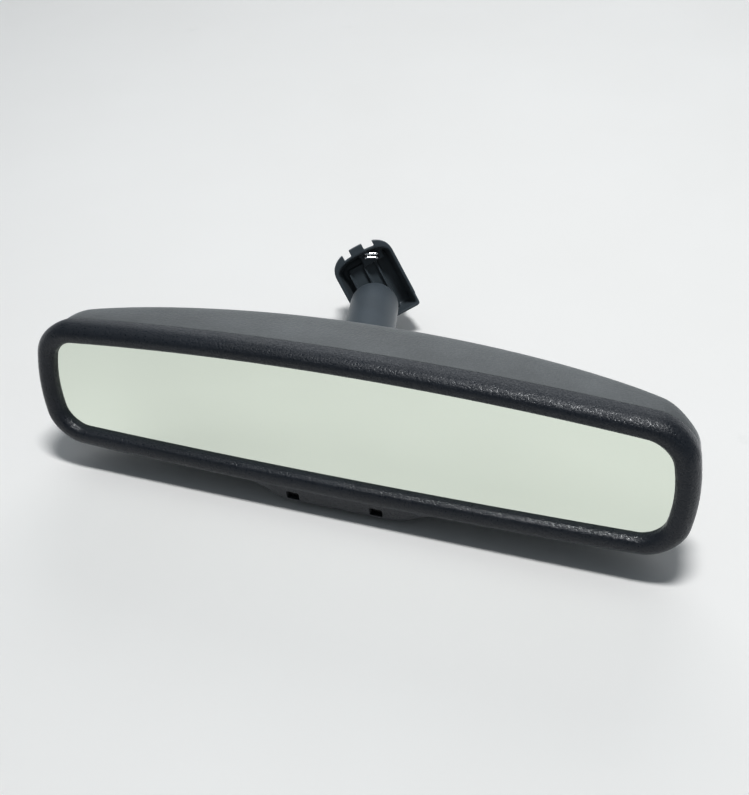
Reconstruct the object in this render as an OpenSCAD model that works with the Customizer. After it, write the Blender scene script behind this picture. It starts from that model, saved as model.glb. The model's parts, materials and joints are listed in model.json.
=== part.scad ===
// Interior rearview mirror with a double-ball arm, lying as set down on a bench.
// The foot is the fixed piece. The origin is on the foot's windshield seat.

/* [Head] */
// Half width of the glass opening at its corners, before the side bow
half_w = 117.5; // [112:0.5:124]
// Half height of the glass opening at its corners, before the top and bottom bows
half_h = 18.8; // [17:0.2:21]
// Rise of the top edge in the middle
bow_top = 5.5; // [3:0.1:7]
// Drop of the bottom edge in the middle
bow_bottom = 1.7; // [0.5:0.1:3]
// Bulge of each side edge
bow_side = 3.4; // [2:0.1:5]
// Corner radius of the glass opening
corner_r = 7.3; // [5:0.1:9]
// Extra fullness of the bezel's lower edge, in the middle
edge_drop = 1.1; // [0.6:0.1:1.4]
// Drop of the chin below the bezel's lower edge
chin_drop = 5.4; // [5.2:0.1:6]
// Depth of the rear case behind the seam, at the middle
case_mid = 29.5; // [29:0.5:32]
// Depth of the rear case behind the seam, at its ends
case_end = 5; // [4.5:0.5:8]
// Wall of the rear case
case_wall = 2.2; // [1.8:0.1:2.4]
// How far the head leans back from upright
lean = 12; // [0:1:15]

/* [Arm] */
// Distance between the two ball centres
arm_len = 50; // [48:1:60]
// Outer radius of the arm tube
arm_r = 10.7; // [10.4:0.1:11]
// Radius of both balls
ball_r = 6.5; // [6.4:0.1:6.5]
// Radius of both ball necks
neck_r = 3; // [2.6:0.1:3]
// Compass direction of the arm, from the foot to the head
arm_turn = -72.7; // [-80:0.1:-65]
// Rise of the arm, from the foot to the head
arm_rise = 14.3; // [10:0.1:18]

/* [Foot] */
// Width of the foot at its rim
foot_w = 28; // [27:0.5:29]
// Length of the foot from its square end to its crown, without the tabs
foot_l = 34; // [33.5:0.5:35]
// Height of the foot's rim over the back of its floor
foot_h = 11; // [9:0.5:12]
// Depth of the channel that takes the windshield button
channel_h = 5; // [4.6:0.1:5]
// Turn of the foot about X, Y and Z
foot_turn = [62, -19, 35.5]; // [-90:0.5:90]

/* [Hidden] */
$fn = 64;
fit = 0.1;              // running clearance of the balls in their seats
slip = 0.08;            // running clearance of the seats in the tube
eps = 0.01;

// ---- Depths in the head, from the plane of the glass opening towards the back ----
lip_y = 0.8;            // back of the bezel's lip, where the glass bears
glass_t = 2;
seal_t = 0.2;
pad_t = 1;
carrier_t = 2;
seam_y = 7.8;
seam_gap = 0.6;
rear_glass_y = lip_y + glass_t + seal_t;
pad_y = rear_glass_y + glass_t;
carrier_y = pad_y + pad_t;
board_y = 14;
board_t = 1.6;
board_back = board_y + board_t;
plate_y = 30;           // front of the steel ball plate
plate_t = 2;
case_y = seam_y + seam_gap;
head_ball = [-8, 51, 8];

// ---- Outline of the head ----
side_steps = 4;
corner_steps = 5;
edge_steps = 30;
function spread(t) = 0.55 * t + 0.45 * t * t * t;
function bare_outline(a, b, r) = concat(
    [for (i = [0:side_steps - 1]) [a, -(b - r) + 2 * (b - r) * (i + 0.5) / side_steps]],
    [for (i = [0:corner_steps]) let(t = 90 * i / corner_steps)
        [a - r + r * cos(t), b - r + r * sin(t)]],
    [for (i = [1:edge_steps - 1]) [-(a - r) * spread(2 * i / edge_steps - 1), b]],
    [for (i = [0:corner_steps]) let(t = 90 + 90 * i / corner_steps)
        [-(a - r) + r * cos(t), b - r + r * sin(t)]],
    [for (i = [0:side_steps - 1]) [-a, b - r - 2 * (b - r) * (i + 0.5) / side_steps]],
    [for (i = [0:corner_steps]) let(t = 180 + 90 * i / corner_steps)
        [-(a - r) + r * cos(t), -(b - r) + r * sin(t)]],
    [for (i = [1:edge_steps - 1]) [(a - r) * spread(2 * i / edge_steps - 1), -b]],
    [for (i = [0:corner_steps]) let(t = 270 + 90 * i / corner_steps)
        [a - r + r * cos(t), -(b - r) + r * sin(t)]]);
// How much of d goes into the height, the side bows and the corner radius
height_share = 1.03;
bow_share = 0.167;
corner_share = 0.65;
drop_from = 1.5;        // the lower edge grows fuller from here outward
drop_over = 4;
drop_reach = 128;
function edge_extra(d, x) = edge_drop * max(0, min(1, (d - drop_from) / drop_over))
    * (1 - pow(min(1, abs(x) / drop_reach), 4));
// The opening's outline grown outward by d, with its bows
function outline(d) = let(a = half_w + d, b = half_h + height_share * d, s = bow_side + bow_share * d)
    [for (p = bare_outline(a, b, max(1, corner_r + corner_share * d)))
        let(x = p.x + s * (1 - pow(p.y / b, 2)) * p.x / a,
            z = p.y + (p.y > 0 ? bow_top : bow_bottom) * (1 - pow(p.x / a, 2)) * p.y / b)
        [x, z - (p.y < 0 ? edge_extra(d, x) * min(1, -2 * p.y / b) : 0)]];
mid_z = (bow_top - bow_bottom) / 2;

// ---- Chin: a flat-bottomed bulge under the bezel ----
chin_flat = 21;
chin_foot = 39;
slot_x = [-19, 15];
slot_size = [5.2, 3.7];
slot_z = -31.2;
function smooth(t) = let(c = max(0, min(1, t))) c * c * (3 - 2 * c);
function chin(x) = chin_drop * (1 - smooth((abs(x) - chin_flat) / (chin_foot - chin_flat)));
function dropped(p, share) = [p.x, p.y - (p.y < 0 ? share * chin(p.x) : 0)];

// ---- Bezel section: how far outward, how far back, and its share of the chin ----
bezel_section = [[0, lip_y, 0], [0, -0.3, 0], [0.6, -1.4, 0], [1.8, -2.5, 0], [3.4, -2.8, 0],
    [4.8, -2.3, 0], [5.9, -1, 0], [6.6, 0.6, 1], [6.9, 2.8, 1], [6.7, 5.6, 1], [6.2, seam_y, 1],
    [3.6, seam_y, 1], [3.6, seam_y + 2, 1], [2.6, seam_y + 2, 1], [2.6, 2.6, 0.7],
    [2.6, lip_y, 0]];

// A closed band that sweeps the section round the head's outline
module swept_band(section) {
    rings = [for (s = section) outline(s.x)];
    m = len(section);
    n = len(rings[0]);
    points = [for (i = [0:n - 1]) for (j = [0:m - 1])
        let(p = dropped(rings[j][i], section[j].z)) [p.x, section[j].y, p.y]];
    faces = [for (i = [0:n - 1]) for (j = [0:m - 1])
        let(a = i * m + j, b = i * m + (j + 1) % m,
            c = ((i + 1) % n) * m + (j + 1) % m, d = ((i + 1) % n) * m + j)
            each [[a, c, b], [a, d, c]]];
    polyhedron(points, faces);
}

// ---- Rear case: a boxy dome, deepest in the middle ----
case_power = 7.6;
case_reach = 121.5;
reach_power = 2.05;
depth_power = 0.61;
depth_blend = 0.002;    // rounds the step where the reach ends
dome_steps = [0, 18, 34, 50, 64, 75, 82];
function case_depth(x, extra) = let(v = 1 - pow(abs(x) / case_reach, reach_power))
    case_end + extra + (case_mid - case_end) * pow((v + sqrt(v * v + depth_blend)) / 2, depth_power);
// One ring of the dome, for a skin grown by d and deepened by extra
function dome_ring(d, extra, angle) =
    let(shrink = pow(cos(angle), 2 / case_power), back = pow(sin(angle), 2 / case_power),
        drop = (1 - smooth(angle / 60)), loss = (1 - shrink) * half_h)
    [for (p = outline(d)) let(q = dropped(p, drop), x = q.x * (1 - loss / half_w))
        [x, case_y + back * case_depth(x, extra), mid_z + (q.y - mid_z) * shrink]];
module dome_shell() {
    outer = [for (t = dome_steps) dome_ring(6.1, 0, t)];
    inner = [for (t = dome_steps) dome_ring(6.1 - case_wall, -case_wall, t)];
    n = len(outer[0]);
    k = len(outer);
    points = concat([for (r = outer) each r], [for (r = inner) each r]);
    function at(skin, ring, i) = (skin * k + ring) * n + i % n;
    walls = [for (ring = [0:k - 2]) for (i = [0:n - 1])
        each [[at(0, ring, i), at(0, ring, i + 1), at(0, ring + 1, i + 1)],
              [at(0, ring, i), at(0, ring + 1, i + 1), at(0, ring + 1, i)],
              [at(1, ring, i), at(1, ring + 1, i + 1), at(1, ring, i + 1)],
              [at(1, ring, i), at(1, ring + 1, i), at(1, ring + 1, i + 1)]]];
    rim = [for (i = [0:n - 1])
        each [[at(0, 0, i), at(1, 0, i + 1), at(0, 0, i + 1)],
              [at(0, 0, i), at(1, 0, i), at(1, 0, i + 1)]]];
    // The back is closed by strips between the upper and the lower half of the last ring
    first = floor(side_steps / 2);
    half = n / 2;
    caps = [for (i = [0:half - 2])
        let(u = first + i, v = first + n - 1 - i, w = k - 1)
        each [[at(0, w, u), at(0, w, u + 1), at(0, w, v)],
              [at(0, w, u + 1), at(0, w, v - 1), at(0, w, v)],
              [at(1, w, u), at(1, w, v), at(1, w, u + 1)],
              [at(1, w, u + 1), at(1, w, v), at(1, w, v - 1)]]];
    polyhedron(points, concat(walls, rim, caps));
}

// ---- Places: the foot is fixed, the arm leaves its ball, the head hangs on the arm ----
function turn_x(a, v) = [v.x, v.y * cos(a) - v.z * sin(a), v.y * sin(a) + v.z * cos(a)];
function turn_y(a, v) = [v.x * cos(a) + v.z * sin(a), v.y, v.z * cos(a) - v.x * sin(a)];
function turn_z(a, v) = [v.x * cos(a) - v.y * sin(a), v.x * sin(a) + v.y * cos(a), v.z];
function turned(t, v) = turn_z(t.z, turn_y(t.y, turn_x(t.x, v)));
seat_point = [0, 10.5, -channel_h];
foot_ball = [-5, -7.5, 20];
foot_ball_at = turned(foot_turn, foot_ball - seat_point);
head_ball_at = foot_ball_at + arm_len
    * [cos(arm_rise) * cos(arm_turn), cos(arm_rise) * sin(arm_turn), sin(arm_rise)];
module in_foot() {
    rotate(foot_turn) translate(-seat_point) children();
}
module in_arm() {
    translate(foot_ball_at) rotate([0, 90 - arm_rise, arm_turn]) children();
}
module in_head() {
    translate(head_ball_at) rotate([-lean, 0, 0]) translate(-head_ball) children();
}
// Stands a shape drawn in X and Y up in the head, from depth y0 to depth y1
module slab(y0, y1) {
    translate([0, y1, 0]) rotate([90, 0, 0]) linear_extrude(y1 - y0) children();
}
// A round bar in the head along its depth
module rod(x, z, r, y0, y1) {
    translate([x, y1, z]) rotate([90, 0, 0]) cylinder(r = r, h = y1 - y0);
}
module block(x, y0, z, w, d, h) {
    translate([x - w / 2, y0, z - h / 2]) cube([w, d, h]);
}
module rounded_rect(w, h, r) {
    for (x = [-1, 1]) for (y = [-1, 1])
        translate([x * (w / 2 - r), y * (h / 2 - r)]) circle(r);
    square([w - 2 * r, h], center = true);
    square([w, h - 2 * r], center = true);
}

// ---- Head, outside ----
chin_board_at = [-2, -27];
chin_board_size = [44, 4.4];
chin_board_y = 5.8;
guide_y = 3.3;          // front of the light guides' upturned part
guide_back = 4.1;
module front_bezel() color([0.10, 0.10, 0.11]) in_head() difference() {
    swept_band(bezel_section);
    for (x = slot_x) {
        block(x, -4, slot_z, slot_size.x, guide_back + 4.05, slot_size.y);
        block(x, guide_y - 0.05, -28.65, 4.8, chin_board_y - guide_y + 0.3, 6.9);
    }
    block(chin_board_at.x, chin_board_y, chin_board_at.y, chin_board_size.x + 0.4, 6,
        chin_board_size.y + 0.4);
}
lens_x = -55;
lens_z = 3;
lens_r = 4;
lens_end = 34.4;
header_x = 52;
header_z = 3;
header_size = [18, 12];
case_hole_r = 7.5;
module rear_case() color([0.36, 0.37, 0.37]) in_head() difference() {
    dome_shell();
    rod(head_ball.x, head_ball.z, case_hole_r, 30, 50);
    rod(lens_x, lens_z, lens_r + 0.05, 28, 50);
    block(header_x, 25, header_z, header_size.x + 1, 30, header_size.y + 1);
}

// ---- Glass pack ----
glass_grow = 1.6;
module glass_front() color([0.80, 0.84, 0.80]) in_head()
    slab(lip_y, lip_y + glass_t) polygon(outline(glass_grow));
module glass_rear() color([0.70, 0.74, 0.72]) in_head()
    slab(rear_glass_y, rear_glass_y + glass_t) polygon(outline(glass_grow - 0.8));
module ec_seal() color([0.25, 0.25, 0.26]) in_head()
    slab(lip_y + glass_t, rear_glass_y) difference() {
        polygon(outline(glass_grow - 1));
        polygon(outline(glass_grow - 3));
    }
// Thin metal strips that hold the long edges of the rear glass
clip_t = 0.3;
clip_l = 150;
module bus_clips() color([0.80, 0.62, 0.35]) in_head() intersection() {
    slab(rear_glass_y, pad_y + clip_t) difference() {
        polygon(outline(glass_grow - 0.8 + clip_t + 0.02));
        polygon(outline(glass_grow - 0.8 + 0.02));
    }
    block(0, 0, 0, clip_l, 20, 100);
}
lead_x = [-62, 62];
lead_w = 5;
lead_z = 21.6;
lead_t = 0.4;
module bus_leads() color([0.80, 0.62, 0.35]) in_head()
    for (x = lead_x) {
        block(x, pad_y + clip_t, lead_z, lead_w, board_back + lead_t - pad_y - clip_t, lead_t);
        block(x, board_back, lead_z - 1.7, lead_w, lead_t, 3.2);
        block(x, pad_y + clip_t, lead_z + 0.8, lead_w, lead_t, 1.6);
    }
module glass_adhesive_pad() color([0.16, 0.16, 0.17]) in_head()
    slab(pad_y, carrier_y) difference() {
        polygon(outline(-2.5));
        for (x = [-78, -26, 26, 78]) translate([x, mid_z]) rounded_rect(38, 20, 4);
    }

// ---- Carrier, board and what stands on them ----
boss_r = 3.2;
boss_at = [for (x = [-15, 15]) for (z = [-6.5, 6.5]) [head_ball.x + x, head_ball.z + z]];
post_r = 2.6;
post_at = [for (x = [-66, 70]) for (z = [-10, 16]) [x, z]];
screw_r = 1.5;
small_screw_r = 1;
board_mid = [2, 3];
board_size = [150, 34];
module carrier_frame() color([0.22, 0.22, 0.23]) in_head() difference() {
    union() {
        slab(carrier_y, carrier_y + carrier_t) difference() {
            polygon(outline(0.8));
            for (x = [-92, -44, 44, 92]) translate([x, mid_z]) rounded_rect(30, 22, 4);
            for (x = lead_x) translate([x, lead_z]) square([lead_w + 2, 3], center = true);
        }
        for (p = boss_at) rod(p.x, p.y, boss_r, carrier_y + 1, plate_y);
        for (p = post_at) rod(p.x, p.y, post_r, carrier_y + 1, board_y);
    }
    for (p = boss_at) rod(p.x, p.y, screw_r + 0.05, plate_y - 9, plate_y + 1);
    for (p = post_at) rod(p.x, p.y, small_screw_r + 0.05, board_y - 5, board_y + 1);
}
module circuit_board() color([0.08, 0.35, 0.20]) in_head()
    slab(board_y, board_back) difference() {
        translate(board_mid) rounded_rect(board_size.x, board_size.y, 2);
        for (p = boss_at) translate(p) circle(boss_r + 0.6);
        for (p = post_at) translate(p) circle(small_screw_r + 0.1);
    }
module board_components() color([0.12, 0.12, 0.13]) in_head() {
    block(-40, board_back, 8, 12, 1.6, 12);
    block(28, board_back, 6, 9, 2.2, 9);
    block(30, board_back, -7, 6, 1.4, 5);
    for (x = [-50, -45, -40, -35]) block(x, board_back, -6, 3, 1.2, 1.8);
    for (x = [12, 17, 22]) block(x, board_back, 15, 2.4, 1.2, 1.6);
    for (x = [18, 24]) rod(x, -6, 2.2, board_back, board_back + 6);
}
module board_screws() color("silver") in_head()
    for (p = post_at) {
        rod(p.x, p.y, small_screw_r, board_y - 4, board_back + 0.5);
        rod(p.x, p.y, 2.2, board_back, board_back + 1.4);
    }
header_end = 33.4;
socket_y = 25.5;
socket_size = [15, 9];
module connector_header() color([0.15, 0.15, 0.16]) in_head() difference() {
    block(header_x, board_back, header_z, header_size.x, header_end - board_back, header_size.y);
    block(header_x, socket_y, header_z, socket_size.x, 20, socket_size.y);
    for (i = [0:5]) rod(header_x - 6.25 + 2.5 * i, header_z, 0.42, board_back + 1, 30);
}
module connector_pins() color([0.85, 0.70, 0.35]) in_head()
    for (i = [0:5]) rod(header_x - 6.25 + 2.5 * i, header_z, 0.4, board_back + 1.5, 30);
module ambient_sensor() color([0.10, 0.10, 0.12]) in_head()
    block(lens_x, board_back, lens_z, 4, 1.4, 4);
module ambient_lens() color([0.75, 0.78, 0.80]) in_head() {
    rod(lens_x, lens_z, 1.8, board_back + 1.7, lens_end - 2);
    rod(lens_x, lens_z, lens_r, lens_end - 3.6, lens_end);
    rod(lens_x, lens_z, lens_r + 1.5, lens_end - 4.4, lens_end - 3.4);
}

// ---- Chin electronics ----
module chin_board() color([0.08, 0.35, 0.20]) in_head()
    block(chin_board_at.x, chin_board_y, chin_board_at.y, chin_board_size.x, 1, chin_board_size.y);
module glare_sensor() color([0.10, 0.10, 0.12]) in_head()
    block(slot_x[0], 4.6, -27.4, 3, 1.2, 3);
module indicator_led() color([0.85, 0.85, 0.75]) in_head()
    block(slot_x[1], 4.6, -27.4, 2.4, 1.2, 2.4);
// A light guide that fills a slot and turns up to the sensor or lamp behind it
module light_guide(x) in_head() {
    block(x, guide_y - 1.3, slot_z, slot_size.x - 0.2, guide_back - guide_y + 1.3, slot_size.y - 0.2);
    block(x, guide_y, slot_z + 2.3, slot_size.x - 1.4, guide_back - guide_y, 5.4);
}
module glare_window() color([0.30, 0.31, 0.33]) light_guide(slot_x[0]);
module indicator_window() color([0.30, 0.31, 0.33]) light_guide(slot_x[1]);

// ---- Ball plate and the head's ball ----
module ball_plate() color([0.62, 0.63, 0.64]) in_head()
    slab(plate_y, plate_y + plate_t) difference() {
        translate([head_ball.x, head_ball.z]) rounded_rect(42, 24, 4);
        translate([head_ball.x, head_ball.z]) circle(neck_r + 0.05);
        for (p = boss_at) translate(p) circle(screw_r + 0.15);
    }
module plate_screws() color("silver") in_head()
    for (p = boss_at) {
        rod(p.x, p.y, screw_r, plate_y - 8, plate_y + plate_t + 0.5);
        rod(p.x, p.y, 3, plate_y + plate_t, plate_y + plate_t + 1.8);
    }
nut_t = 4;
module stud_nut() color("silver") in_head()
    translate([head_ball.x, plate_y, head_ball.z]) rotate([90, 0, 0]) difference() {
        cylinder(r = 6, h = nut_t, $fn = 6);
        translate([0, 0, -1]) cylinder(r = neck_r + 0.02, h = nut_t + 2);
    }
// A ball on a neck, along +Z with the ball's centre at 0; the flange sits at flange_z
module ball_stud(flange_z, flange_r, flange_t, end_z) {
    sphere(ball_r);
    translate([0, 0, end_z]) cylinder(r = neck_r, h = -end_z);
    translate([0, 0, flange_z]) cylinder(r = flange_r, h = flange_t);
}
module head_ball_stud() color([0.70, 0.71, 0.72]) in_head()
    translate(head_ball) rotate([-90, 0, 0])
        ball_stud(plate_y + plate_t - head_ball.y, 6, 2.5, plate_y - nut_t - 1 - head_ball.y);

// ---- Arm: a tube with a ball socket at each end ----
seat_in = ball_r + fit;
cavity_r = seat_in + 1.9;
seat_out = cavity_r - slip;
mouth_r = 7.4;
// Everything at one ball, with the mouth towards -Z
module mouth_cut() {
    sphere(cavity_r);
    translate([0, 0, -12.2]) cylinder(r1 = mouth_r + 6.8, r2 = mouth_r, h = 8);
    translate([0, 0, -4.3]) cylinder(r = mouth_r, h = 4.3);
}
module arm_tube() color([0.42, 0.44, 0.46]) in_arm() difference() {
    union() {
        sphere(arm_r);
        cylinder(r = arm_r, h = arm_len);
        translate([0, 0, arm_len]) sphere(arm_r);
    }
    mouth_cut();
    cylinder(r = cavity_r, h = arm_len);
    translate([0, 0, arm_len]) rotate([180, 0, 0]) mouth_cut();
}
// Ring seat between the ball and the tube's lip; its axis is +Z, towards the lip
module ring_seat() intersection() {
    difference() {
        sphere(seat_out);
        sphere(seat_in);
    }
    translate([0, 0, 1]) cylinder(r = 20, h = 2.4);
}
// Cup seat behind the ball, that slides in the tube's bore
cup_back = 9;
module cup_seat() difference() {
    translate([0, 0, 4.6]) cylinder(r = seat_out, h = cup_back - 4.6);
    sphere(seat_in);
}
module head_seat_front() color([0.85, 0.85, 0.82])
    translate(head_ball_at) rotate([90 - lean, 0, 0]) ring_seat();
module head_seat_rear() color([0.85, 0.85, 0.82]) in_arm()
    translate([0, 0, arm_len]) rotate([180, 0, 0]) cup_seat();
module foot_seat_front() color([0.85, 0.85, 0.82])
    translate(foot_ball_at) rotate(foot_turn) rotate([180, 0, 0]) ring_seat();
module foot_seat_rear() color([0.85, 0.85, 0.82]) in_arm() cup_seat();
cap_gap = 0.3;
cap_t = 1;
module spring_caps() color("silver") in_arm()
    for (z = [cup_back + cap_gap, arm_len - cup_back - cap_gap - cap_t])
        translate([0, 0, z]) difference() {
            cylinder(r = cavity_r - 0.05, h = cap_t);
            translate([0, 0, -1]) cylinder(r = 3, h = cap_t + 2);
        }
// Coil spring between the caps, as one swept polyhedron
wire_r = 0.8;
coil_r = 6;
coil_turns = 6;
turn_steps = 14;
wire_sides = 8;
module arm_spring() color([0.75, 0.76, 0.78]) in_arm() {
    low = cup_back + cap_gap + cap_t + wire_r;
    high = arm_len - low;
    steps = coil_turns * turn_steps;
    points = [for (i = [0:steps]) let(a = 360 * i / turn_steps,
            z = low + (high - low) * i / steps)
        for (j = [0:wire_sides - 1]) let(b = 360 * j / wire_sides)
            [(coil_r + wire_r * cos(b)) * cos(a), (coil_r + wire_r * cos(b)) * sin(a),
             z + wire_r * sin(b)]];
    skin = [for (i = [0:steps - 1]) for (j = [0:wire_sides - 1])
        let(a = i * wire_sides + j, b = i * wire_sides + (j + 1) % wire_sides)
        each [[a, b + wire_sides, a + wire_sides], [a, b, b + wire_sides]]];
    ends = [[for (j = [wire_sides - 1:-1:0]) j],
            [for (j = [0:wire_sides - 1]) steps * wire_sides + j]];
    polyhedron(points, concat(skin, ends));
}

// ---- Foot: a shallow tray with a castellated crown, and a button channel on its back ----
crown_rise = 7.1;
crown_power = 2.5;
foot_low = -17.8;
crown_y = foot_low + foot_l - crown_rise;
wall = 1.4;
draft = 2.2;
crown_steps = 16;
function sign_pow(v, p) = sign(v) * pow(abs(v), p);
// The tray's outline, grown by g all round and by up more at the crown
function tray(g, up = 0) = let(w = foot_w / 2 + g) concat([[-w, foot_low - g], [w, foot_low - g]],
    [for (i = [0:crown_steps]) let(t = 180 * i / crown_steps)
        [w * sign_pow(cos(t), 2 / crown_power),
         crown_y + (crown_rise + g + up) * sign_pow(sin(t), 2 / crown_power)]]);
tabs = [[-15, -7], [-3.4, 2.9], [7.7, 15]];
tab_reach = 2.5;
tab_t = 3;
ribs = [-8.1, -0.8, 4.8];
rib_w = 1.2;
rib_top = 6;
rib_low = -15;
rib_high = 8.5;
plateau_top = 4.2;
base_t = 2;
rail_w = 3.2;
channel_w = 15;
undercut = 1.2;
rail_low = -12.5;
rail_high = 13;
// Wire clip: two staples side by side in a ledge under the crown
clip_at = [4.5, 11.8];
clip_turn = -26;
clip_half = 2.9;
clip_gap = 0.9;
clip_wire = 0.7;
clip_z = 9;
clip_low = 5.5;
ledge_top = 7;
module staples(r, low) translate(clip_at) rotate([0, 0, clip_turn])
    for (y = [-clip_gap, clip_gap]) {
        translate([-clip_half, y, clip_z]) rotate([0, 90, 0]) cylinder(r = r, h = 2 * clip_half);
        for (x = [-clip_half, clip_half]) {
            translate([x, y, clip_z]) sphere(r);
            translate([x, y, low]) cylinder(r = r, h = clip_z - low);
        }
    }
set_screw_at = [2.2, -12];
set_screw_r = 2.5;
module tray_solid(g_low, g_high, z0, z1) hull() {
    translate([0, 0, z0]) linear_extrude(eps) polygon(tray(g_low));
    translate([0, 0, z1 - eps]) linear_extrude(eps) polygon(tray(g_high));
}
module foot_shell() color([0.14, 0.14, 0.15]) in_foot() difference() {
    union() {
        difference() {
            tray_solid(-draft, 0, 0, foot_h);
            tray_solid(-draft - wall + 0.3, -wall, base_t, foot_h + 1);
        }
        // Crown and side rims, between the crown's notches
        for (t = tabs) intersection() {
            translate([0, 0, foot_h - tab_t]) linear_extrude(tab_t) difference() {
                polygon(tray(0.1, tab_reach));
                polygon(tray(-1));
            }
            translate([t[0], -12, 0]) cube([t[1] - t[0], 40, 20]);
        }
        translate([ribs[0], rib_low, base_t - 0.5])
            cube([ribs[2] - ribs[0], rib_high + 1.5 - rib_low, plateau_top - base_t + 0.5]);
        for (x = ribs) translate([x - rib_w / 2, rib_low, base_t - 0.5])
            cube([rib_w, rib_high - rib_low, rib_top - base_t + 0.5]);
        linear_extrude(ledge_top) intersection() {
            polygon(tray(-draft));
            translate([-0.5, rib_high]) square([10, 20]);
        }
        translate([set_screw_at.x, set_screw_at.y, base_t - 0.5]) cylinder(r = 3.6, h = 4);
        for (s = [-1, 1]) mirror([s < 0 ? 1 : 0, 0, 0])
            translate([0, rail_high, 0]) rotate([90, 0, 0]) linear_extrude(rail_high - rail_low)
                polygon([[channel_w / 2 + undercut, eps], [channel_w / 2, -channel_h],
                    [channel_w / 2 + rail_w, -channel_h], [channel_w / 2 + rail_w, eps]]);
        translate([-channel_w / 2 - 1, seat_point.y - 2.5, -channel_h])
            cube([channel_w + 2, 5, channel_h + eps]);
    }
    translate([foot_ball.x, foot_ball.y, -1]) cylinder(r = neck_r + 0.05, h = 5);
    translate([foot_ball.x, foot_ball.y, base_t]) cylinder(r = 6, h = 20);
    translate([set_screw_at.x, set_screw_at.y, -1]) cylinder(r = set_screw_r + 0.05, h = 20);
    staples(clip_wire + 0.05, clip_low - 0.1);
}
module foot_ball_stud() color([0.70, 0.71, 0.72]) in_foot() translate(foot_ball)
    ball_stud(base_t - foot_ball.z, 5.5, 2.5, -foot_ball.z + 0.1);
plate_skin = 1.2;
module foot_channel_plate() color([0.60, 0.61, 0.62]) in_foot() difference() {
    translate([-channel_w / 2 + 0.2, rail_low, -plate_skin - 0.02])
        cube([channel_w - 0.4, seat_point.y - 2.6 - rail_low, plate_skin]);
    translate([set_screw_at.x, set_screw_at.y, -5]) cylinder(r = set_screw_r + 0.1, h = 20);
}
module foot_set_screw() color([0.30, 0.30, 0.32]) in_foot()
    translate([set_screw_at.x, set_screw_at.y, -2.2]) difference() {
        cylinder(r = set_screw_r, h = 7.2);
        translate([0, 0, 4.5]) cylinder(r = 1.4, h = 4, $fn = 6);
    }
module foot_spring_clip() color([0.85, 0.86, 0.87]) in_foot() staples(clip_wire, clip_low);

front_bezel();
rear_case();
glass_front();
glass_rear();
ec_seal();
bus_clips();
bus_leads();
glass_adhesive_pad();
carrier_frame();
circuit_board();
board_components();
board_screws();
connector_header();
connector_pins();
ambient_sensor();
ambient_lens();
chin_board();
glare_sensor();
glare_window();
indicator_led();
indicator_window();
ball_plate();
plate_screws();
stud_nut();
head_ball_stud();
head_seat_front();
head_seat_rear();
arm_tube();
arm_spring();
spring_caps();
foot_seat_front();
foot_seat_rear();
foot_shell();
foot_ball_stud();
foot_channel_plate();
foot_set_screw();
foot_spring_clip();
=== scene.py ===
# Interior rearview mirror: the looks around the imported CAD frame. Lengths are in metres.
import json
import math

import bmesh
import bpy
from mathutils import Matrix, Vector

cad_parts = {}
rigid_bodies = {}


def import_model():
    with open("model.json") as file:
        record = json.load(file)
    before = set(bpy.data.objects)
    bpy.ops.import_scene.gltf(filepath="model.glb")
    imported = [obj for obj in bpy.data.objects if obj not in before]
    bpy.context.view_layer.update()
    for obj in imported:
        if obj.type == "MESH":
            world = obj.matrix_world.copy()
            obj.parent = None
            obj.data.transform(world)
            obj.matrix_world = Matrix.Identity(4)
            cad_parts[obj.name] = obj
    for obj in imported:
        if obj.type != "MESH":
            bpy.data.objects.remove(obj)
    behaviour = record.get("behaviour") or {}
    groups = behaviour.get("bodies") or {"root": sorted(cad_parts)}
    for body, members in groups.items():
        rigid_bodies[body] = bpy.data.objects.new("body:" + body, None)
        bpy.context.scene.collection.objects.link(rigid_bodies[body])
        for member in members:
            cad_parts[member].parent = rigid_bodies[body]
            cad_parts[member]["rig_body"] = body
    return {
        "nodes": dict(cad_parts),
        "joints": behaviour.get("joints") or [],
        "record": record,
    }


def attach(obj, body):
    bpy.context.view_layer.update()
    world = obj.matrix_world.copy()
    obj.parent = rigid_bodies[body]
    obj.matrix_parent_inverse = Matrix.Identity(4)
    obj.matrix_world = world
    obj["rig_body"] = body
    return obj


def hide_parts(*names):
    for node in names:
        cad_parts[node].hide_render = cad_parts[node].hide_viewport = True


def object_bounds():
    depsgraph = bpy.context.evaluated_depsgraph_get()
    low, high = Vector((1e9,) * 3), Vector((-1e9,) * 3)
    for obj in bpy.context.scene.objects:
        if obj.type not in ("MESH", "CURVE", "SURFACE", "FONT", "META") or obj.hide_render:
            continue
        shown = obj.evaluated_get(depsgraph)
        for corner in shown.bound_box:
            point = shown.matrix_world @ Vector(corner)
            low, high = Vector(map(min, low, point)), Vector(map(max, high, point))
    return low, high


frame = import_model()
cad_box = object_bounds()
MM = 0.001

# ---------------------------------------------------------------- driving sizes, as in the CAD
HALF_W = 117.5 * MM
HALF_H = 18.8 * MM
BOW_TOP = 5.5 * MM
BOW_BOTTOM = 1.7 * MM
BOW_SIDE = 3.4 * MM
CORNER_R = 7.3 * MM
# Growth of the half height, side bow and corner radius for each unit that the outline grows
HEIGHT_SHARE = 1.03
BOW_SHARE = 0.167
CORNER_SHARE = 0.65
CORNER_LEAST = 1 * MM
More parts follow.
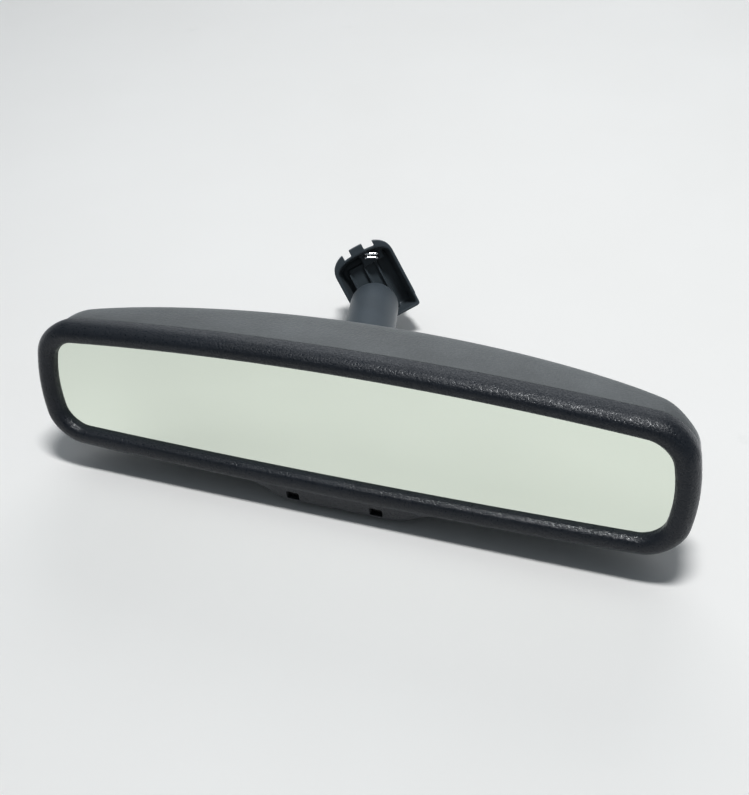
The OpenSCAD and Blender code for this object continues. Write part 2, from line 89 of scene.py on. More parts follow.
# The lower edge's extra fullness: its size, where it starts and fills, and how far out it ends
EDGE_DROP = 1.1 * MM
EDGE_FROM = 1.5 * MM
EDGE_RISE = 4 * MM
EDGE_REACH = 128 * MM
CHIN_DROP = 5.4 * MM
CHIN_FLAT = 21 * MM
CHIN_FOOT = 39 * MM
SLOT_X = (-19 * MM, 15 * MM)
SLOT_Z = -31.2 * MM
SLOT_W = 5.2 * MM
SLOT_H = 3.7 * MM
CASE_Y = 8.4 * MM
CASE_OUT = 6.1 * MM
CASE_WALL = 2.2 * MM
CASE_MID = 29.5 * MM
CASE_END = 5 * MM
CASE_REACH = 121.5 * MM
CASE_POWER = 7.6
REACH_POWER = 2.05
DEPTH_POWER = 0.61
DEPTH_BLEND = 0.002
CASE_EDGE = 0.35 * MM
CASE_HOLE_R = 7.5 * MM
CASE_HOLE_FROM = 25 * MM
CASE_HOLE_TO = 60 * MM
SLOT_CORNER_R = 0.7 * MM
SLOT_FROM = -6 * MM
SLOT_TO = 4.2 * MM
LENS_AT = (-55 * MM, 3 * MM)
LENS_R = 4.05 * MM
HEADER_AT = (52 * MM, 3 * MM)
HEADER_OPENING = (19 * MM, 13 * MM)
HEADER_CORNER_R = 1 * MM
HEAD_BALL = Vector((-8, 51, 8)) * MM
ARM_LEN = 50 * MM
ARM_R = 10.7 * MM
CAVITY_R = 8.5 * MM
MOUTH_R = 7.4 * MM
MOUTH_Z = 4.2 * MM
MOUTH_SLOPE = 0.85
BALL_R = 6.5 * MM
NECK_R = 3 * MM
FLANGE_R = 5.5 * MM
FLANGE_T = 2.5 * MM
FOOT_SEAT = Vector((0, 10.5, -5)) * MM
FOOT_BALL = Vector((-5, -7.5, 20)) * MM
FOOT_W = 28 * MM
FOOT_LOW = -17.8 * MM
FOOT_H = 11 * MM
CROWN_Y = 9.1 * MM
CROWN_RISE = 7.1 * MM
CROWN_POWER = 2.5
FOOT_WALL = 1.4 * MM
FOOT_DRAFT = 2.2 * MM
FOOT_BASE = 2 * MM
MID_Z = (BOW_TOP - BOW_BOTTOM) / 2


# ---------------------------------------------------------------- places, read from the frame
joints = {j["name"]: j for j in frame["joints"]}
mounts = {m["name"]: m for m in frame["record"]["mounts"]}


def basis(x, y, z, origin):
    """A placement with the given axes and origin."""
    m = Matrix((x, y, z)).transposed().to_4x4()
    m.translation = origin
    return m


def head_place():
    """Head axes: X along the mirror, Y to its back, Z up its glass; origin in the glass opening."""
    back = Vector(mounts["power_socket"]["axis"]).normalized()
    along = Vector((1, 0, 0))
    m = basis(along, back, along.cross(back), (0, 0, 0))
    m.translation = Vector(joints["head_swivel"]["pos_m"]) - m.to_3x3() @ HEAD_BALL
    return m


def foot_place():
    """Foot axes: X across the foot, Y to its crown, Z towards the arm."""
    up = -Vector(mounts["windshield_seat"]["axis"]).normalized()
    crown = -Vector(mounts["button_channel"]["axis"]).normalized()
    m = basis(crown.cross(up), crown, up, (0, 0, 0))
    m.translation = -(m.to_3x3() @ FOOT_SEAT)
    return m


def arm_place():
    """Arm axes: Z from the foot's ball to the head's ball; origin at the foot's ball."""
    axis = Vector(joints["arm_roll"]["axis"]).normalized()
    side = axis.orthogonal().normalized()
    return basis(side, axis.cross(side), axis, Vector(joints["arm_roll"]["pos_m"]))


HEAD = head_place()
FOOT = foot_place()
ARM = arm_place()


# ---------------------------------------------------------------- mesh helpers
def smooth_step(t):
    """Eases from 0 to 1, and stays there outside that span."""
    t = max(0.0, min(1.0, t))
    return t * t * (3 - 2 * t)


def mesh_piece(name, points, faces, place, material):
    """A new object from points and faces in a placement, with its normals outward."""
    mesh = bpy.data.meshes.new(name)
    mesh.from_pydata([place @ Vector(p) for p in points], [], faces)
    work = bmesh.new()
    work.from_mesh(mesh)
    bmesh.ops.remove_doubles(work, verts=work.verts, dist=1e-7)
    bmesh.ops.recalc_face_normals(work, faces=work.faces)
    work.to_mesh(mesh)
    work.free()
    piece = bpy.data.objects.new(name, mesh)
    bpy.context.scene.collection.objects.link(piece)
    mesh.materials.append(material)
    shade(piece)
    return piece


def shade(piece, angle=35):
    """Smooth faces, with a crease wherever they meet at more than the angle."""
    piece.data.shade_smooth()
    piece.data.set_sharp_from_angle(angle=math.radians(angle))


def bake_modifiers(piece):
    """Replaces the piece's mesh by what its modifiers make of it."""
    bpy.context.view_layer.update()
    graph = bpy.context.evaluated_depsgraph_get()
    made = bpy.data.meshes.new_from_object(piece.evaluated_get(graph))
    piece.modifiers.clear()
    piece.data = made


def cut(piece, cutters):
    """Cuts the cutters out of the piece and removes them."""
    for cutter in cutters:
        step = piece.modifiers.new("cut", "BOOLEAN")
        step.operation = "DIFFERENCE"
        step.solver = "EXACT"
        step.object = cutter
    bake_modifiers(piece)
    for cutter in cutters:
        bpy.data.objects.remove(cutter)


def put(piece, body, *nodes, slot=None):
    """Rides the piece on a body, in place of the CAD nodes named."""
    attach(piece, body)
    if nodes:
        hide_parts(*nodes)
    return piece


def rounded(corners, steps=5):
    """A closed outline whose corners (x, y, radius) become arcs."""
    out = []
    for i, (x, y, r) in enumerate(corners):
        p = Vector((x, y))
        a = (Vector(corners[i - 1][:2]) - p)
        b = (Vector(corners[(i + 1) % len(corners)][:2]) - p)
        half = a.angle(b) / 2
        if r <= 0 or half > math.radians(89):
            out.append(tuple(p))
            continue
        reach = min(r / math.tan(half), 0.49 * a.length, 0.49 * b.length)
        start = p + a.normalized() * reach
        end = p + b.normalized() * reach
        for k in range(steps + 1):
            t = k / steps
            out.append(tuple((1 - t) ** 2 * start + 2 * t * (1 - t) * p + t * t * end))
    return out


def lathe(name, profile, place, material, around=96):
    """Turns a closed profile of (radius, height) about Z."""
    n = len(profile)
    points = []
    for k in range(around):
        a = 2 * math.pi * k / around
        points += [(r * math.cos(a), r * math.sin(a), z) for r, z in profile]
    faces = []
    for k in range(around):
        for j in range(n):
            a, b = k * n + j, k * n + (j + 1) % n
            c, d = ((k + 1) % around) * n + (j + 1) % n, ((k + 1) % around) * n + j
            faces.append((a, b, c, d))
    return mesh_piece(name, points, faces, place, material)


def clean_poles(piece):
    """Drops the faces that a lathe flattens at its axis."""
    work = bmesh.new()
    work.from_mesh(piece.data)
    bmesh.ops.dissolve_degenerate(work, dist=1e-7, edges=work.edges)
    work.to_mesh(piece.data)
    work.free()


def prism(name, outline, low, high, place, material):
    """A straight prism on an outline in X and Y, from height low to high."""
    n = len(outline)
    points = [(x, y, low) for x, y in outline] + [(x, y, high) for x, y in outline]
    faces = [(i, (i + 1) % n, n + (i + 1) % n, n + i) for i in range(n)]
    faces += [tuple(range(n - 1, -1, -1)), tuple(range(n, 2 * n))]
    return mesh_piece(name, points, faces, place, material)


def box_outline(cx, cy, w, h, r=0.0, steps=5):
    """A rectangle with its corners rounded to r."""
    corners = [(cx - w / 2, cy - h / 2, r), (cx + w / 2, cy - h / 2, r),
               (cx + w / 2, cy + h / 2, r), (cx - w / 2, cy + h / 2, r)]
    return rounded(corners, steps)


def circle_outline(cx, cy, r, steps=64):
    return [(cx + r * math.cos(2 * math.pi * k / steps), cy + r * math.sin(2 * math.pi * k / steps))
            for k in range(steps)]


# Stands an outline drawn in X and Y up in the head, so that its height runs to the back
UPRIGHT = Matrix(((1, 0, 0, 0), (0, 0, 1, 0), (0, 1, 0, 0), (0, 0, 0, 1)))


# ---------------------------------------------------------------- materials
class Nodes:
    """A short way to write a node tree."""

    def __init__(self, name):
        self.material = bpy.data.materials.new(name)
        self.material.use_nodes = True
        self.tree = self.material.node_tree
        self.shader = self.tree.nodes["Principled BSDF"]
        self.place = self.tree.nodes.new("ShaderNodeTexCoord").outputs["Object"]

    def add(self, kind, **values):
        node = self.tree.nodes.new(kind)
        for key, value in values.items():
            setattr(node, key, value)
        return node

    def link(self, a, b):
        self.tree.links.new(a, b)

    def noise(self, scale, detail=2.0, roughness=0.5, stretch=None):
        node = self.add("ShaderNodeTexNoise")
        node.inputs["Scale"].default_value = scale
        node.inputs["Detail"].default_value = detail
        node.inputs["Roughness"].default_value = roughness
        source = self.place
        if stretch:
            mapping = self.add("ShaderNodeMapping")
            mapping.inputs["Scale"].default_value = stretch
            self.link(source, mapping.inputs["Vector"])
            source = mapping.outputs["Vector"]
        self.link(source, node.inputs["Vector"])
        return node.outputs["Fac"]

    def ramp(self, source, low, high, a=0.0, b=1.0):
        node = self.add("ShaderNodeMapRange")
        for name, value in (("From Min", a), ("From Max", b), ("To Min", low), ("To Max", high)):
            node.inputs[name].default_value = value
        self.link(source, node.inputs["Value"])
        return node.outputs["Result"]

    def mix(self, factor, a, b):
        node = self.add("ShaderNodeMix", data_type="RGBA")
        for socket, value in ((node.inputs[0], factor), (node.inputs[6], a), (node.inputs[7], b)):
            if isinstance(value, (tuple, float)):
                socket.default_value = value
            else:
                self.link(value, socket)
        return node.outputs[2]

    def bump(self, source, strength, distance):
        node = self.add("ShaderNodeBump")
        node.inputs["Strength"].default_value = strength
        node.inputs["Distance"].default_value = distance
        self.link(source, node.inputs["Height"])
        return node.outputs["Normal"]

    def set(self, **values):
        for key, value in values.items():
            self.shader.inputs[key.replace("_", " ")].default_value = value


def shaded(colour, factor):
    return tuple(min(1.0, c * factor) for c in colour[:3]) + (1.0,)


def moulded_plastic(name, colour, rough, grain=2000, depth=0.5, specular=0.5, sheen=0.0,
                    relief=0.1, speckle=0.05):
    """Grained plastic: a fine pebbled skin, with slightly uneven colour and polish."""
    n = Nodes(name)
    patch = n.noise(35, 3)
    fine = n.noise(grain, 2, 0.6)
    base = n.mix(n.ramp(patch, 0, 1, 0.3, 0.7), shaded(colour, 0.88), shaded(colour, 1.14))
    n.link(base, n.shader.inputs["Base Color"])
    n.link(n.ramp(fine, rough - speckle, rough + speckle, 0.35, 0.65), n.shader.inputs["Roughness"])
    n.link(n.bump(fine, depth, relief * MM), n.shader.inputs["Normal"])
    n.set(Specular_IOR_Level=specular, Sheen_Weight=sheen, Sheen_Roughness=0.4)
    return n.material


def brushed_metal(name, colour, rough, brush=(1, 1, 30), scale=900, depth=0.08):
    """Metal with fine drawn lines and uneven polish."""
    n = Nodes(name)
    lines = n.noise(scale, 3, 0.6, stretch=brush)
    patch = n.noise(60, 3)
    base = n.mix(n.ramp(patch, 0, 1, 0.3, 0.7), shaded(colour, 0.85), shaded(colour, 1.05))
    n.link(base, n.shader.inputs["Base Color"])
    n.link(n.ramp(lines, rough - 0.08, rough + 0.1, 0.3, 0.7), n.shader.inputs["Roughness"])
    n.link(n.bump(lines, depth, 0.04 * MM), n.shader.inputs["Normal"])
    n.set(Metallic=1.0)
    return n.material


def mirror_glass(name, colour, rough=0.03):
    """Silvered glass: a tinted mirror with faint smears under a clear coat."""
    n = Nodes(name)
    smear = n.noise(28, 4, 0.65, stretch=(1, 1, 3))
    haze = n.noise(9, 2)
    base = n.mix(n.ramp(haze, 0, 1, 0.35, 0.65), shaded(colour, 0.97), shaded(colour, 1.02))
    n.link(base, n.shader.inputs["Base Color"])
    n.link(n.ramp(smear, rough, rough + 0.07, 0.4, 0.75), n.shader.inputs["Roughness"])
    n.set(Metallic=1.0, Coat_Weight=0.35, Coat_Roughness=0.02)
    return n.material


def clear_plastic(name, colour, rough=0.12, see=0.7):
    """Tinted light guide with faint flow marks."""
    n = Nodes(name)
    flow = n.noise(420, 3, stretch=(1, 3, 1))
    base = n.mix(n.ramp(flow, 0, 1, 0.3, 0.7), shaded(colour, 0.8), shaded(colour, 1.15))
    n.link(base, n.shader.inputs["Base Color"])
    n.link(n.ramp(flow, rough, rough + 0.1, 0.3, 0.7), n.shader.inputs["Roughness"])
    n.link(n.bump(flow, 0.1, 0.03 * MM), n.shader.inputs["Normal"])
    n.set(Transmission_Weight=see, IOR=1.5)
    return n.material


def foam(name, colour):
    """Matt foam or rubber with open pores."""
    n = Nodes(name)
    cells = n.add("ShaderNodeTexVoronoi")
    cells.inputs["Scale"].default_value = 2200
    n.link(n.place, cells.inputs["Vector"])
    pore = cells.outputs["Distance"]
    base = n.mix(n.ramp(pore, 0, 1, 0, 0.6), shaded(colour, 0.6), shaded(colour, 1.3))
    n.link(base, n.shader.inputs["Base Color"])
    n.link(n.bump(pore, 0.4, 0.1 * MM), n.shader.inputs["Normal"])
    n.set(Roughness=0.85)
    return n.material


def board_mask(name, colour):
    """Solder-masked board: raised tracks under a glossy lacquer, with tinned pads."""
    n = Nodes(name)
    tracks = n.add("ShaderNodeTexBrick")
    tracks.inputs["Scale"].default_value = 260
    tracks.inputs["Mortar Size"].default_value = 0.03
    n.link(n.place, tracks.inputs["Vector"])
    pads = n.ramp(n.noise(330, 1), 0, 1, 0.68, 0.71)
    lacquer = n.mix(tracks.outputs["Fac"], shaded(colour, 1.0), shaded(colour, 1.7))
    base = n.mix(pads, lacquer, (0.55, 0.56, 0.55, 1.0))
    n.link(base, n.shader.inputs["Base Color"])
    n.link(n.bump(tracks.outputs["Fac"], 0.3, 0.04 * MM), n.shader.inputs["Normal"])
    n.set(Roughness=0.32)
    return n.material


def plastics():
    """The moulded plastics. The grain is how many bumps lie along a metre, the relief is in mm."""
    return {
        "bezel": moulded_plastic("bezel_grain", (0.013, 0.018, 0.027), 0.43, grain=1350, depth=1.0,
                                 specular=0.75, sheen=0.42, relief=0.24, speckle=0.17),
        "case": moulded_plastic("case_grain", (0.148, 0.157, 0.162), 0.58, grain=1100, depth=0.9,
                                specular=0.5, sheen=0.7, relief=0.2, speckle=0.1),
        "arm": moulded_plastic("arm_satin", (0.066, 0.085, 0.102), 0.5, grain=2600, depth=0.12,
                               sheen=0.2),
        "foot": moulded_plastic("foot_moulding", (0.095, 0.114, 0.128), 0.33, grain=2200, depth=0.2,
                                sheen=0.05),
        "frame": moulded_plastic("frame_moulding", (0.03, 0.03, 0.032), 0.5, grain=1500, depth=0.3),
        "header": moulded_plastic("header_moulding", (0.02, 0.02, 0.022), 0.4, grain=1900,
                                  depth=0.25),
        "chip": moulded_plastic("chip_moulding", (0.015, 0.015, 0.017), 0.55, grain=2600,
                                depth=0.4),
        "nylon": moulded_plastic("seat_nylon_grain", (0.6, 0.59, 0.54), 0.45, grain=1200,
                                 depth=0.2),
    }


def metals():
    """The metals. Those brushed evenly are plated or turned, the others are drawn or rolled."""
    even = (1, 1, 1)
    return {
        "steel": brushed_metal("plate_steel_brushed", (0.56, 0.56, 0.57), 0.38),
        "zinc": brushed_metal("screw_zinc", (0.62, 0.63, 0.62), 0.32, even, 1400),
        "ball": brushed_metal("ball_steel_turned", (0.64, 0.64, 0.65), 0.22, even, 700, 0.05),
        "spring": brushed_metal("spring_wire", (0.5, 0.5, 0.52), 0.3),
        "bright": brushed_metal("bright_wire", (0.88, 0.89, 0.9), 0.16, even, 900, 0.03),
        "oxide": brushed_metal("black_oxide", (0.07, 0.07, 0.075), 0.4, even, 1500),
        "bronze": brushed_metal("clip_bronze_rolled", (0.72, 0.52, 0.28), 0.3),
        "gold": brushed_metal("pin_plating", (0.85, 0.65, 0.28), 0.22, even, 1500),
    }


def glass_and_soft():
    """The mirrors, the light guides, the seal, the pad and the board."""
    return {
        "led": clear_plastic("led_epoxy_clear", (0.85, 0.85, 0.72), 0.1, 0.5),
        "glass": mirror_glass("front_mirror", (0.875, 0.92, 0.835)),
        "rear_glass": mirror_glass("rear_mirror", (0.62, 0.66, 0.63), 0.05),
        "window": clear_plastic("smoked_guide", (0.012, 0.012, 0.014), 0.2, 0.15),
        "lens": clear_plastic("clear_guide", (0.75, 0.78, 0.8), 0.1, 0.8),
        "seal": foam("seal_matt", (0.02, 0.02, 0.02)),
        "pad": foam("pad_foam", (0.025, 0.025, 0.026)),
        "board": board_mask("board_lacquer", (0.012, 0.09, 0.04)),
    }


# ---------------------------------------------------------------- head: outline, bezel and case
SIDE_STEPS = 8
CORNER_STEPS = 14
EDGE_STEPS = 120


def spread(t):
    """Spaces points from -1 to 1, closer in the middle."""
    return 0.55 * t + 0.45 * t ** 3


def bare_outline(a, b, r):
    """A rounded rectangle, anticlockwise from its right side, finer towards the middle."""
    def arc(cx, cy, start):
        return [(cx + r * math.cos(math.radians(start + 90 * i / CORNER_STEPS)),
                 cy + r * math.sin(math.radians(start + 90 * i / CORNER_STEPS)))
                for i in range(CORNER_STEPS + 1)]

    side = [-(b - r) + 2 * (b - r) * (i + 0.5) / SIDE_STEPS for i in range(SIDE_STEPS)]
    edge = [(a - r) * spread(2 * i / EDGE_STEPS - 1) for i in range(1, EDGE_STEPS)]
    return ([(a, y) for y in side] + arc(a - r, b - r, 0) + [(-x, b) for x in edge]
            + arc(-(a - r), b - r, 90) + [(-a, -y) for y in side] + arc(-(a - r), -(b - r), 180)
            + [(x, -b) for x in edge] + arc(a - r, -(b - r), 270))


def edge_extra(d, x):
    """The lower edge grows a little fuller outward, most of all in the middle."""
    share = max(0.0, min(1.0, (d - EDGE_FROM) / EDGE_RISE))
    return EDGE_DROP * share * (1 - min(1.0, abs(x) / EDGE_REACH) ** 4)


def outline(d):
    """The glass opening's outline grown outward by d, with its bows."""
    a, b, s = HALF_W + d, HALF_H + HEIGHT_SHARE * d, BOW_SIDE + BOW_SHARE * d
    points = []
    for x, y in bare_outline(a, b, max(CORNER_LEAST, CORNER_R + CORNER_SHARE * d)):
        bow = BOW_TOP if y > 0 else BOW_BOTTOM
        px = x + s * (1 - (y / b) ** 2) * x / a
        pz = y + bow * (1 - (x / a) ** 2) * y / b
        if y < 0:
            pz -= edge_extra(d, px) * min(1.0, -2 * y / b)
        points.append((px, pz))
    return points


def chin(x):
    """How far the lower edge drops at x to make the chin."""
    return CHIN_DROP * (1 - smooth_step((abs(x) - CHIN_FLAT) / (CHIN_FOOT - CHIN_FLAT)))


def dropped(point, share):
    """An outline point with a share of the chin's drop."""
    x, y = point
    return (x, y - (share * chin(x) if y < 0 else 0))


# Bezel section: outward, back and share of the chin, in millimetres. The face is one smooth
# curve from the glass round to the seam; the rest is the hidden inside with its tongue.
BEZEL_FACE = ((0, 0.8, 0), (0.02, -0.1, 0), (0.16, -0.9, 0), (0.58, -1.65, 0), (1.08, -2.3, 0),
              (1.85, -2.72, 0), (3.1, -2.92, 0), (4.4, -2.6, 0), (5.45, -1.7, 0),
              (6.1, -0.75, 0.35), (6.62, 0.45, 0.95), (6.92, 1.7, 1), (7.0, 3.2, 1),
              (6.85, 5.4, 1), (6.55, 7.1, 1), (6.38, 7.4, 1), (6.0, 7.72, 1))
BEZEL_INSIDE = ((5.6, 7.8, 1), (3.6, 7.8, 1), (3.6, 9.65, 1), (3.45, 9.8, 1), (2.75, 9.8, 1),
                (2.6, 9.65, 1), (2.6, 2.6, 0.7), (2.6, 0.8, 0))


def through(points, steps=6):
    """A smooth curve through points of any size, by Catmull and Rom's rule."""
    out = []
    last = len(points) - 1
    for i in range(last):
        p = [points[max(0, min(last, i + k))] for k in (-1, 0, 1, 2)]
        for k in range(steps):
            t = k / steps
            w = (-t + 2 * t * t - t ** 3, 2 - 5 * t * t + 3 * t ** 3, t + 4 * t * t - 3 * t ** 3,
                 t ** 3 - t * t)
            out.append(tuple(sum(w[m] * p[m][c] for m in range(4)) / 2 for c in range(len(p[0]))))
    return out + [tuple(points[last])]


def bezel_section():
    face = through(BEZEL_FACE)
    return [(d * MM, y * MM, max(0.0, min(1.0, s))) for d, y, s in face + list(BEZEL_INSIDE)]


def bezel(mats):
    """The bezel: its section carried round the glass, with the two slots cut in its chin."""
    section = bezel_section()
    rings = [outline(d) for d, _, _ in section]
    m, n = len(section), len(rings[0])
    points = []
    for i in range(n):
        for j, (_, y, share) in enumerate(section):
            x, z = dropped(rings[j][i], share)
            points.append((x, y, z))
    faces = []
    for i in range(n):
        here, ahead = i * m, (i + 1) % n * m
        faces += [(here + j, here + (j + 1) % m, ahead + (j + 1) % m, ahead + j) for j in range(m)]
    piece = mesh_piece("bezel_moulding", points, faces, HEAD, mats["bezel"])
    slots = [box_outline(x, SLOT_Z, SLOT_W, SLOT_H, SLOT_CORNER_R) for x in SLOT_X]
    cut(piece, [prism("slot_cutter", slot, SLOT_FROM, SLOT_TO, HEAD @ UPRIGHT, mats["bezel"])
                for slot in slots])
    shade(piece)
    return put(piece, "head", "front_bezel", slot="bezel_plastic")


def case_depth(x, extra):
    """How deep the case is at x; the blend keeps the curve smooth where it runs out at the ends."""
    v = 1 - (abs(x) / CASE_REACH) ** REACH_POWER
    v = (v + math.sqrt(v * v + DEPTH_BLEND)) / 2
    return CASE_END + extra + (CASE_MID - CASE_END) * v ** DEPTH_POWER


def dome_ring(d, extra, angle):
    """One ring of the case's dome: the outline grown by d, at an angle round to the back."""
    c, s = math.cos(math.radians(angle)), math.sin(math.radians(angle))
    shrink, back = c ** (2 / CASE_POWER), s ** (2 / CASE_POWER)
    loss = (1 - shrink) * HALF_H
    ring = []
    for p in outline(d):
        x, z = dropped(p, 1 - smooth_step(angle / 60))
        x *= 1 - loss / HALF_W
        ring.append((x, CASE_Y + back * case_depth(x, extra), MID_Z + (z - MID_Z) * shrink))
    return ring


def dome_angles():
    """Steps that follow the boxy dome closely round its shoulder."""
    return [0, 2, 5, 9, 13, 18, 23, 28, 34, 40, 46, 52, 58, 63, 67, 71, 75, 78, 80, 82]


def case(mats):
    """The rear shell, from its rounded front edge over the dome, with its holes."""
    outer = []
    for inward, back in ((CASE_EDGE, 0.02 * MM), (0.3 * CASE_EDGE, 0.1 * MM), (0, CASE_EDGE)):
        outer.append([(x, CASE_Y + back, z) for x, _, z in dome_ring(CASE_OUT - inward, 0, 0)])
    outer += [dome_ring(CASE_OUT, 0, a) for a in dome_angles()[1:]]
    inner = [dome_ring(CASE_OUT - CASE_WALL, -CASE_WALL, a) for a in dome_angles()]
    rings = outer[::-1] + inner            # from the back, forward over the skin and back inside
    n = len(rings[0])
    points = [p for ring in rings for p in ring]
    faces = [(r * n + i, r * n + (i + 1) % n, (r + 1) * n + (i + 1) % n, (r + 1) * n + i)
             for r in range(len(rings) - 1) for i in range(n)]
    first = SIDE_STEPS // 2
    for r in (0, len(rings) - 1):
        for i in range(n // 2 - 1):
            u, v = first + i, first + n - 1 - i
            faces.append((r * n + u % n, r * n + v % n, r * n + (v - 1) % n, r * n + (u + 1) % n))
    piece = mesh_piece("case_moulding", points, faces, HEAD, mats["case"])
    stand = HEAD @ UPRIGHT
    holes = [circle_outline(HEAD_BALL.x, HEAD_BALL.z, CASE_HOLE_R),
             circle_outline(*LENS_AT, LENS_R),
             box_outline(*HEADER_AT, *HEADER_OPENING, HEADER_CORNER_R)]
    cut(piece, [prism("case_cutter", hole, CASE_HOLE_FROM, CASE_HOLE_TO, stand, mats["case"])
                for hole in holes])
    shade(piece)
    return put(piece, "head", "rear_case", slot="case_plastic")


# ---------------------------------------------------------------- arm and ball studs
def arc_points(radius, start, end, steps, centre=0.0):
    """Points (radius, height) on a circle about the axis; angles are measured from the equator."""
    out = []
    for k in range(steps + 1):
        a = math.radians(start + (end - start) * k / steps)
        out.append((radius * math.cos(a), centre + radius * math.sin(a)))
    return out


def mouth_height():
    """Where the flared mouth, r = MOUTH_R + MOUTH_SLOPE * (h - MOUTH_Z), meets the outer sphere."""
    at_ball = MOUTH_R - MOUTH_SLOPE * MOUTH_Z
    a, b = 1 + MOUTH_SLOPE ** 2, MOUTH_SLOPE * at_ball
    return (-b + math.sqrt(b * b - a * (at_ball ** 2 - ARM_R ** 2))) / a


def arm_tube(mats):
    """The tube with a rounded, flared mouth at each end and a hollow round each ball."""
    inner_angle = math.degrees(math.acos(MOUTH_R / CAVITY_R))
    height = mouth_height()
    outer_angle = math.degrees(math.asin(height / ARM_R))
    end = arc_points(ARM_R, -(outer_angle - 3), 0, 16)
    brim = (ARM_R * math.cos(math.radians(outer_angle)), -height, 0.5 * MM)
    lip = rounded([(MOUTH_R, -MOUTH_Z, 0), brim, (*end[0], 0)], 5)[1:-1]
    half = arc_points(CAVITY_R, 0, -inner_angle, 8) + lip + end
    far = [(r, ARM_LEN - z) for r, z in half]
    piece = lathe("arm_moulding", half + far[::-1], ARM, mats["arm"], 128)
    return put(piece, "arm", "arm_tube", slot="arm_plastic")


def ball_stud(name, flange, tail, place, material):
    """A turned ball at the origin on a filleted neck that runs down to a flange and its tail."""
    blend = math.degrees(math.asin(NECK_R / BALL_R))
    profile = arc_points(BALL_R, 90, -(90 - blend), 28)
    profile[0] = (0.0, BALL_R)
    shoulder = flange + FLANGE_T
    foot = rounded([(NECK_R, profile[-1][1], 0), (NECK_R, shoulder, 0.8 * MM),
                    (FLANGE_R, shoulder, 0.4 * MM), (FLANGE_R, flange, 0.2 * MM),
                    (NECK_R, flange, 0), (NECK_R, tail, 0.4 * MM), (0, tail, 0)], 5)
    piece = lathe(name, profile[:-1] + foot, place, material, 64)
    clean_poles(piece)
    return piece


def studs(mats):
    """The head's stud and the foot's stud."""
    down = Matrix.Rotation(math.radians(-90), 4, "X")
    head = ball_stud("head_ball_turned", -19 * MM, -26 * MM,
                     HEAD @ Matrix.Translation(HEAD_BALL) @ down, mats["ball"])
    put(head, "head", "head_ball_stud", slot="ball_steel")
    foot = ball_stud("foot_ball_turned", -18 * MM, -19.9 * MM,
                     FOOT @ Matrix.Translation(FOOT_BALL), mats["ball"])
    put(foot, "foot", "foot_ball_stud", slot="ball_steel")


# ---------------------------------------------------------------- foot
CROWN_STEPS = 48
CROWN_REACH = 2.5 * MM
# Each part of the castellated crown: from x, to x; an end of None runs on down that side
TABS = ((None, -7 * MM), (-3.4 * MM, 2.9 * MM), (7.7 * MM, None))
TAB_LOW = 8 * MM
TAB_WALL = 1 * MM
SIDE_RIM_LOW = -12 * MM
RIM_ROUND = 0.5 * MM
LOW_CORNER_R = 1.6 * MM
RIBS = (-8.1 * MM, -0.8 * MM, 4.8 * MM)
RIB_Y = -3.25 * MM
RIB_TOP = 6 * MM
PLATEAU_Y = -2.5 * MM
PLATEAU_LENGTH = 25 * MM
PLATEAU_TOP = 4.2 * MM
LEDGE_LOW = 1 * MM
LEDGE_TOP = 7 * MM
LEDGE_EDGE_Y = 8.5 * MM
LEDGE_FROM = 9.5 * MM
LEDGE_TO = -0.5 * MM
LEDGE_STEPS = 20
BOSS_R = 3.6 * MM
BOSS_TOP = 5.5 * MM
ROOT = 0.5 * MM                 # how far the raised parts reach into the tray's floor
# One rail of the button channel, seen from its end, for the right side
RAIL = ((8.7 * MM, 0.3 * MM), (7.5 * MM, -5 * MM), (10.7 * MM, -5 * MM), (10.7 * MM, 0.3 * MM))
RAIL_FROM = -12.5 * MM
RAIL_TO = 13 * MM
BRIDGE_Y = 10.5 * MM
BRIDGE_W = 17 * MM
BRIDGE_L = 5 * MM
VOXEL = 0.3 * MM
SET_SCREW = (2.2 * MM, -12 * MM)
SET_SCREW_HOLE_R = 2.55 * MM
STUD_HOLE_R = NECK_R + 0.05 * MM
STUD_ROOM_R = 6 * MM
# The wire clip: its place and turn, half length, height, low end, wire radius and half spacing
CLIP_AT = (4.5 * MM, 11.8 * MM)
CLIP_TURN = -26
CLIP_HALF = 2.9 * MM
CLIP_Z = 9 * MM
CLIP_LOW = 5.5 * MM
CLIP_WIRE = 0.7 * MM
CLIP_GAP = 0.9 * MM
CLIP_BEND = 1 * MM


def crown_height(x, g, up=0.0):
    """How far up the crown's curve is at x, grown by g all round and by up more at its top."""
    t = min(1.0, abs(x) / (FOOT_W / 2 + g))
    return CROWN_Y + (CROWN_RISE + g + up) * (1 - t ** CROWN_POWER) ** (1 / CROWN_POWER)


def crown_curve(g, up=0.0, steps=CROWN_STEPS):
    """The crown from its right end to its left end."""
    out = []
    for k in range(steps + 1):
        a = math.pi * k / steps
        c, r = math.cos(a), math.sin(a)
        out.append(((FOOT_W / 2 + g) * math.copysign(abs(c) ** (2 / CROWN_POWER), c),
                    CROWN_Y + (CROWN_RISE + g + up) * r ** (2 / CROWN_POWER)))
    return out


def tray_outline(g):
    """The foot's outline grown by g: a square low end and a bowed crown."""
    w = FOOT_W / 2 + g
    low = rounded([(-w, CROWN_Y, 0), (-w, FOOT_LOW - g, LOW_CORNER_R),
                   (w, FOOT_LOW - g, LOW_CORNER_R), (w, CROWN_Y, 0)], 6)
    return low + crown_curve(g)[1:-1]


